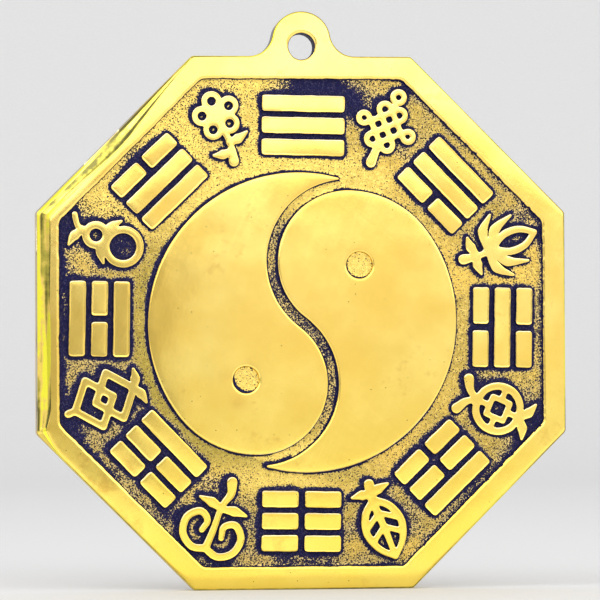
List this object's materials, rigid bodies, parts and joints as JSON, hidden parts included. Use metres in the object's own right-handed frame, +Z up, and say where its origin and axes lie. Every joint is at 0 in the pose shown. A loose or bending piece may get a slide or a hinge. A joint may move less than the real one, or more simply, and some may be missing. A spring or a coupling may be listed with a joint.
{
  "type": "bagua wall plaque",
  "caption": "Octagonal brass wall plaque with a hanging lug, a raised yin-yang figure and trigrams and ornaments round it on a dark recessed field",
  "frame": {"origin": "middle of the hanging hole, on the plane of the back face that lies on the wall", "axes": "+Z up as it hangs, -Y out of the front face, +X to the right as seen from the front"},
  "size_m": [0.15, 0.0065, 0.1627],
  "materials": {
    "patinated_brass": "cast plate with a flat polished rim and a pebbled field with dark blue-black patina",
    "mirror_polished_brass": "hand polished, slightly uneven, faint orange tarnish",
    "polished_bar_brass": "polished faces with dark patina round the edges",
    "polished_ornament_brass": "polished faces with dark patina round the edges"
  },
  "bodies": {
    "root": {"cast_plate": "patinated_brass", "yin_yang_left_half": "mirror_polished_brass", "yin_yang_right_half": "mirror_polished_brass", "top_trigram_outer_bar": "polished_bar_brass", "top_trigram_middle_bar": "polished_bar_brass", "top_trigram_inner_bar": "polished_bar_brass", "top_right_trigram_outer_bar": "polished_bar_brass", "top_right_trigram_middle_bar": "polished_bar_brass", "top_right_trigram_inner_bar_left": "polished_bar_brass", "top_right_trigram_inner_bar_right": "polished_bar_brass", "right_trigram_outer_bar_left": "polished_bar_brass", "right_trigram_outer_bar_right": "polished_bar_brass", "right_trigram_middle_bar": "polished_bar_brass", "right_trigram_inner_bar_left": "polished_bar_brass", "right_trigram_inner_bar_right": "polished_bar_brass", "bottom_right_trigram_outer_bar": "polished_bar_brass", "bottom_right_trigram_middle_bar_left": "polished_bar_brass", "bottom_right_trigram_middle_bar_right": "polished_bar_brass", "bottom_right_trigram_inner_bar_left": "polished_bar_brass", "bottom_right_trigram_inner_bar_right": "polished_bar_brass", "bottom_trigram_outer_bar_left": "polished_bar_brass", "bottom_trigram_outer_bar_right": "polished_bar_brass", "bottom_trigram_middle_bar_left": "polished_bar_brass", "bottom_trigram_middle_bar_right": "polished_bar_brass", "bottom_trigram_inner_bar_left": "polished_bar_brass", "bottom_trigram_inner_bar_right": "polished_bar_brass", "bottom_left_trigram_outer_bar_left": "polished_bar_brass", "bottom_left_trigram_outer_bar_right": "polished_bar_brass", "bottom_left_trigram_middle_bar_left": "polished_bar_brass", "bottom_left_trigram_middle_bar_right": "polished_bar_brass", "bottom_left_trigram_inner_bar": "polished_bar_brass", "left_trigram_outer_bar": "polished_bar_brass", "left_trigram_middle_bar_left": "polished_bar_brass", "left_trigram_middle_bar_right": "polished_bar_brass", "left_trigram_inner_bar": "polished_bar_brass", "top_left_trigram_outer_bar_left": "polished_bar_brass", "top_left_trigram_outer_bar_right": "polished_bar_brass", "top_left_trigram_middle_bar": "polished_bar_brass", "top_left_trigram_inner_bar": "polished_bar_brass", "knot_ornament": "polished_ornament_brass", "lotus_ornament": "polished_ornament_brass", "coin_ornament": "polished_ornament_brass", "leaf_ornament": "polished_ornament_brass", "cloud_ornament": "polished_ornament_brass", "lozenge_ornament": "polished_ornament_brass", "gourd_ornament": "polished_ornament_brass", "blossom_ornament": "polished_ornament_brass"}
  },
  "joints": []
}
